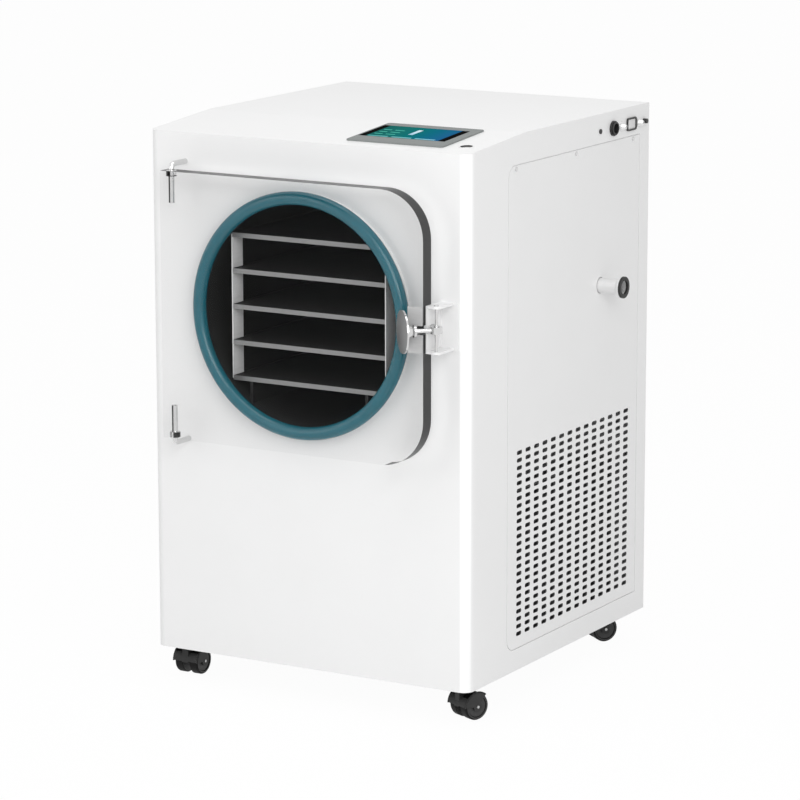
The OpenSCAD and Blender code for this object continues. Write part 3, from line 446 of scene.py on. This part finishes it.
def rounded(w, d, r):
    """A rectangle round the origin with rounded corners."""
    points = []
    for turn, x, y in ((0, w / 2 - r, d / 2 - r), (90, r - w / 2, d / 2 - r),
                       (180, r - w / 2, r - d / 2), (270, w / 2 - r, r - d / 2)):
        points += [(x + a, y + b) for a, b in arc(r, turn, turn + 90, 6)]
    return points


def halfway(values):
    """The middle of the range that some numbers span."""
    values = list(values)
    return (min(values) + max(values)) / 2


# the sides of a castor's hood, in mm, and where they end, in degrees from the trailing side up and forward
HOOD_FRONT, HOOD_REAR = 178, 50
TYRE_GAP = 0.6
HOOD_T = 2.5
HOOD_EDGE = 1
HUB_R = 9
RIM_T = 2.3
CHEEK_IN, CHEEK_T = 0.3, 2
AXLE_R, AXLE_END = 2.5, 1


def castor_cheeks(corner):
    """The cheeks that close the hood's sides down to the axle, with the axle's ends in them."""
    a, b = middle(f"wheel_{corner}_a"), middle(f"wheel_{corner}_b")
    centre = (a + b) / 2
    along = (a - b).normalized()
    wheels = [v.co for k in "ab" for v in NODES[f"wheel_{corner}_{k}"].data.vertices]
    face = max(abs((p - centre).dot(along)) for p in wheels) / MM
    hood_in = max(p.z - centre.z for p in wheels) / MM + TYRE_GAP
    hood_out = hood_in + HOOD_T
    back = centre - middle(f"castor_plate_{corner}")
    back = Vector((back.x, back.y, 0)).normalized()
    side = back.cross(Z)
    rim = arc(hood_out, HOOD_REAR, HOOD_FRONT) + arc(hood_in, HOOD_FRONT, HOOD_REAR)
    cheek = arc(hood_out - HOOD_EDGE, HOOD_REAR, HOOD_FRONT) + arc(HUB_R, HOOD_FRONT, HOOD_REAR + 360)
    axle = arc(AXLE_R, 0, 345)
    form = Form(CASTOR_GREY, AXLE)
    for outline, low, depth, slot in ((rim, face, RIM_T, 0), (cheek, face + CHEEK_IN, CHEEK_T, 0),
                                      (axle, face + CHEEK_IN + CHEEK_T, AXLE_END, 1)):
        form.prism(outline, centre + side * low * MM, back, Z, depth, slot)
        form.prism(outline, centre - side * (low + depth) * MM, back, Z, depth, slot)
    form.place(f"castor_cheeks_{corner}", f"castor_housing_{corner}")


for corner in CORNERS:
    castor_cheeks(corner)

# the cabinet's right side, in metres, and the sizes of what stands on it, in mm
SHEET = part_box("shell")[1].x
NUT_R, NUT_T = 8.5, 4
BORE_R, NECK_R, BARB_R = 2, 4, 5.5
BARB_REACH = 12
PORT_W, PORT_H, PORT_T = 38, 24, 3
PORT_WALL = 3
PORT_REARWARD = 3


def nozzles():
    """Two short hose barbs, each on its hexagon nut."""
    points = [v.co for v in NODES["hose_nozzles"].data.vertices]
    between = middle("hose_nozzles").y
    barb = [(BORE_R, NUT_T - 1), (BARB_R, NUT_T), (BARB_R, NUT_T + 1), (NECK_R, BARB_REACH - 3.5),
            (BARB_R, BARB_REACH - 3.5), (NECK_R, BARB_REACH), (BORE_R, BARB_REACH)]
    form = Form(SATIN)
    for near in (True, False):
        one = [p for p in points if (p.y < between) == near]
        at = Vector((SHEET, halfway(p.y for p in one), halfway(p.z for p in one)))
        form.prism(arc(NUT_R, 0, 300, 5), at, Y, Z, NUT_T)
        form.turned(barb, at, Y, Z)
    form.place("nozzle_barbs", "hose_nozzles", "hose_nozzles")


def data_port_frame():
    """Rounded black frame on the sheet with a pale cover sunk in it."""
    centre = middle("data_port")
    at = Vector((SHEET, centre.y + PORT_REARWARD * MM, centre.z))
    opening = rounded(PORT_W - 2 * PORT_WALL, PORT_H - 2 * PORT_WALL, 3)
    form = Form(BLACK_PLASTIC, PORT_COVER)
    form.prism(rounded(PORT_W, PORT_H, 5), at, Y, Z, PORT_T, 0, opening)
    form.prism(opening, at - X * 1 * MM, Y, Z, PORT_T - 1, 1)
    form.place("data_port_frame", "data_port", "data_port")


nozzles()
data_port_frame()


# ------------------------------------------------------------------ the touch panel and what it shows


# sizes in mm, across, up the slope and out of it
BEZEL_W, BEZEL_D, BEZEL_T = 196, 152, 2.5
SOLID_BEZEL_T = 6
SCREEN_W, SCREEN_D = 174, 92
SCREEN_LEFT, SCREEN_UP = 4, 8
SCREEN_RIM = 14
FIELD_W = SCREEN_W - 2 * SCREEN_RIM
GLASS_T = 0.1


def top_middle(node, up, out):
    """The middle of a node's topmost rim on the slope, and how far out the rim stands."""
    points = [v.co for v in NODES[node].data.vertices]
    top = max(p.dot(out) for p in points)
    rim = [p for p in points if p.dot(out) > top - 0.1 * MM]
    return X * halfway(p.x for p in rim) + up * halfway(p.dot(up) for p in rim), top


def slope():
    """Foot of the touch panel's middle on the sloped top, and the up and out directions there."""
    upward = [f for f in NODES["touch_panel_bezel"].data.polygons if f.normal.z > 0.9]
    out = max(upward, key=lambda f: f.area).normal.copy()
    up = out.cross(X)
    place, top = top_middle("touch_panel_bezel", up, out)
    return place + out * (top - SOLID_BEZEL_T * MM), up, out


FOOT, UP, OUT = slope()
# the lower left corner of the screen, on top of its glass
CORNER = FOOT + (X * (SCREEN_LEFT - BEZEL_W / 2) + UP * (SCREEN_UP - SCREEN_D / 2)
                 + OUT * (BEZEL_T + GLASS_T)) * MM


def plate(form, at, w, d, t):
    """A rectangular plate that lies on the slope, with its lower left corner at a point."""
    form.prism([(0, 0), (w, 0), (w, d), (0, d)], at, X, UP, t)


def touch_panel():
    """The flat bezel, with the black glass let in."""
    bezel = Form(BEZEL)
    bezel.prism(rounded(BEZEL_W, BEZEL_D, 6), FOOT, X, UP, BEZEL_T)
    bezel.place("touch_panel_frame", "touch_panel_bezel", "touch_panel_bezel")
    glass = Form(SCREEN_BLACK)
    plate(glass, CORNER - OUT * GLASS_T * MM, SCREEN_W, SCREEN_D, GLASS_T)
    glass.place("touch_panel_glass", "touch_panel_screen", "touch_panel_screen")


touch_panel()

# the push button, in mm
SOLID_RING_T = 2.5
RING_R, RING_T = 14, 1
WELL_R, WELL_WALL, WELL_DEPTH = 11, 0.2, 12
CAP_R, CAP_T, CAP_SUNK = 10.5, 7, 2.2


def button():
    """A low ring round a well lined with painted shade, with the cap sunk in it."""
    place, top = top_middle("button_ring", UP, OUT)
    at = place + OUT * (top - SOLID_RING_T * MM)
    ring = Form(BUTTON, BUTTON_WELL_PAINTED_SHADE)
    ring.turned([(WELL_R, 0), (RING_R, 0), (RING_R, RING_T), (WELL_R, RING_T)], at, X, UP)
    # the thin dark liner is painted shade inside the well
    liner_r, liner_top = WELL_R - WELL_WALL, RING_T - 0.1
    ring.turned([(liner_r, -WELL_DEPTH), (WELL_R, -WELL_DEPTH), (WELL_R, liner_top), (liner_r, liner_top)],
                at, X, UP, 1)
    ring.place("button_low_ring", "button_ring", "button_ring")
    cap = Form(BUTTON)
    cap.prism(arc(CAP_R, 0, 352.5, 47), at - OUT * (CAP_SUNK + CAP_T) * MM, X, UP, CAP_T)
    cap.place("button_sunk_cap", "button_cap", "button_cap")


button()


def tiles(name, mat, boxes, lift):
    """Thin plates on the glass, each box as x, up, width and depth from the lit field's lower left, in mm."""
    form = Form(mat)
    for x, up, w, d in boxes:
        plate(form, CORNER + (X * (SCREEN_RIM + x) + UP * up) * MM, w, d, lift)
    form.place(name, "touch_panel_screen")


def across(name, colours, start, width, axis="X"):
    """A lit colour that changes along one axis, through evenly spaced stops."""
    s = Shader(name)
    place = s.node("ShaderNodeSeparateXYZ")
    s.link(s.coords, place.inputs[0])
    along = s.node("ShaderNodeMapRange")
    along.inputs["From Min"].default_value = start
    along.inputs["From Max"].default_value = start + width
    s.link(place.outputs[axis], along.inputs["Value"])
    n = s.node("ShaderNodeValToRGB")
    stops = n.color_ramp.elements
    while len(stops) < len(colours):
        stops.new(0.5)
    for k, colour in enumerate(colours):
        stops[k].position = k / (len(colours) - 1)
        stops[k].color = colour
    s.link(along.outputs["Result"], n.inputs["Fac"])
    s.link(n.outputs["Color"], s.bsdf.inputs["Base Color"])
    s.link(s.scaled(s.noise(60), 0.4, 0.5), s.bsdf.inputs["Roughness"])
    s.set(Specular_IOR_Level=0.0)
    return s.mat


# what the screen shows, in mm from the lit field's lower left corner
FIELD_T, MARK_T = 0.10, 0.16
FIELD_COLOURS = [rgb(30, 98, 94), rgb(30, 110, 106), rgb(18, 112, 114), rgb(20, 106, 130), rgb(34, 98, 144)]
KEY_COLOURS = [rgb(92, 178, 176), rgb(120, 192, 196), rgb(136, 200, 222)]
GAUGE_COLOURS = [rgb(168, 208, 232), rgb(222, 238, 244)]
READING_COLOURS = [rgb(84, 190, 170), rgb(60, 170, 160)]
GAUGE_X, GAUGE_UP, GAUGE_W, GAUGE_D = 69, 31, 9, 40
KEY_PITCH, KEY_W, KEY_D = 47.5, 40, 6
READING_ROWS, READING_D = (22, 39, 56), 4
READING_PLACES = ((5, 16), (28, 19))


def display():
    """What the screen shows: a lit field with three keys, one gauge and two columns of readings."""
    left, width = CORNER.x + SCREEN_RIM * MM, FIELD_W * MM
    field = across("display_field", FIELD_COLOURS, left, width)
    keys = across("display_keys", KEY_COLOURS, left, width)
    gauge_foot = CORNER + UP * GAUGE_UP * MM
    gauge = across("display_gauge", GAUGE_COLOURS, gauge_foot.y, UP.y * GAUGE_D * MM, "Y")
    readings = across("display_readings", READING_COLOURS, left, width)
    tiles("display_field", field, [(0, 0.5, FIELD_W, SCREEN_D - 1)], FIELD_T)
    tiles("display_keys", keys, [(3 + KEY_PITCH * k, 2, KEY_W, KEY_D) for k in range(3)], MARK_T)
    tiles("display_gauge", gauge, [(GAUGE_X, GAUGE_UP, GAUGE_W, GAUGE_D)], MARK_T)
    tiles("display_readings", readings,
          [(x, up, w, READING_D) for up in READING_ROWS for x, w in READING_PLACES], MARK_T)


display()


# ------------------------------------------------------------------ floor, light and camera


FLOOR_SIZE = 90
FLOOR_DROP = 0.5 * MM
FLOOR_WHITE = 0.965
AMBIENT = 0.54

# the camera stands at the photograph's angle: round from the front, and above the horizon
AZIMUTH, ELEVATION = 29.78, 11.776
DISTANCE = 6.9
AIM = Vector((0.0247, 0.0711, 0.4874))
LENS = 167.2
SHIFT_X, SHIFT_Y = -0.0386, 0.0070


def studio_floor():
    """A pale floor that the camera sees as white, with a faint shadow under the cabinet."""
    s = Shader("studio_floor")
    shade = s.noise(0.6, 2)
    s.link(s.ramp(shade, grey(240), grey(244)), s.bsdf.inputs["Base Color"])
    s.set(Roughness=0.9)
    path = s.node("ShaderNodeLightPath")
    seen = s.node("ShaderNodeMath", operation="MAXIMUM")
    s.link(path.outputs["Is Camera Ray"], seen.inputs[0])
    s.link(path.outputs["Is Glossy Ray"], seen.inputs[1])
    share = s.node("ShaderNodeMath", operation="MULTIPLY")
    s.link(seen.outputs[0], share.inputs[0])
    share.inputs[1].default_value = FLOOR_WHITE
    glow = s.node("ShaderNodeEmission")
    glow.inputs["Color"].default_value = (1, 1, 1, 1)
    glow.inputs["Strength"].default_value = 1.0
    mix = s.node("ShaderNodeMixShader")
    out = s.tree.nodes["Material Output"]
    s.link(share.outputs[0], mix.inputs["Fac"])
    s.link(s.bsdf.outputs[0], mix.inputs[1])
    s.link(glow.outputs[0], mix.inputs[2])
    s.link(mix.outputs[0], out.inputs["Surface"])
    return s.mat


def floor():
    mesh = bpy.data.meshes.new("floor")
    h = FLOOR_SIZE / 2
    mesh.from_pydata([(-h, -h, 0), (h, -h, 0), (h, h, 0), (-h, h, 0)], [], [(0, 1, 2, 3)])
    obj = bpy.data.objects.new("floor", mesh)
    obj.location.z = -FLOOR_DROP
    mesh.materials.append(studio_floor())
    bpy.context.scene.collection.objects.link(obj)


floor()


def world():
    """Even light from all round, and plain white where the camera or a reflection looks past the floor."""
    w = bpy.data.worlds.new("studio")
    bpy.context.scene.world = w
    w.use_nodes = True
    t = w.node_tree
    back = t.nodes["Background"]
    back.inputs["Color"].default_value = (1, 1, 1, 1)
    path = t.nodes.new("ShaderNodeLightPath")
    seen = path.outputs["Is Camera Ray"]
    for ray in ("Is Glossy Ray", "Is Transmission Ray"):
        either = t.nodes.new("ShaderNodeMath")
        either.operation = "MAXIMUM"
        t.links.new(seen, either.inputs[0])
        t.links.new(path.outputs[ray], either.inputs[1])
        seen = either.outputs[0]
    light = t.nodes.new("ShaderNodeMapRange")
    light.inputs["To Min"].default_value = AMBIENT
    light.inputs["To Max"].default_value = 1.0
    t.links.new(seen, light.inputs["Value"])
    t.links.new(light.outputs["Result"], back.inputs["Strength"])


world()


def look_from(obj, azimuth, elevation, distance):
    """Stands an object at some angles, in degrees, and a distance from AIM, and turns it to look there."""
    a, e = math.radians(azimuth), math.radians(elevation)
    back = Vector((math.sin(a) * math.cos(e), -math.cos(a) * math.cos(e), math.sin(e)))
    obj.location = AIM + back * distance
    obj.rotation_euler = (-back).to_track_quat("-Z", "Y").to_euler()
    bpy.context.scene.collection.objects.link(obj)


def softbox(name, azimuth, elevation, distance, width, height, power):
    """A rectangular soft lamp."""
    lamp = bpy.data.lights.new(name, "AREA")
    lamp.shape = "RECTANGLE"
    lamp.size = width
    lamp.size_y = height
    lamp.energy = power
    look_from(bpy.data.objects.new(name, lamp), azimuth, elevation, distance)


softbox("key_box", azimuth=40, elevation=25, distance=4.0, width=2.4, height=2.4, power=59)
softbox("front_left_box", azimuth=-35, elevation=22, distance=4.0, width=2.2, height=2.2, power=15)
softbox("top_box", azimuth=10, elevation=75, distance=4.0, width=3.0, height=3.0, power=46)


def camera():
    cam = bpy.data.cameras.new("camera")
    cam.sensor_width = 36
    cam.lens = LENS
    cam.shift_x = SHIFT_X
    cam.shift_y = SHIFT_Y
    cam.clip_end = 200
    obj = bpy.data.objects.new("camera", cam)
    look_from(obj, AZIMUTH, ELEVATION, DISTANCE)
    bpy.context.scene.camera = obj


camera()
bpy.context.scene.view_settings.view_transform = "Standard"
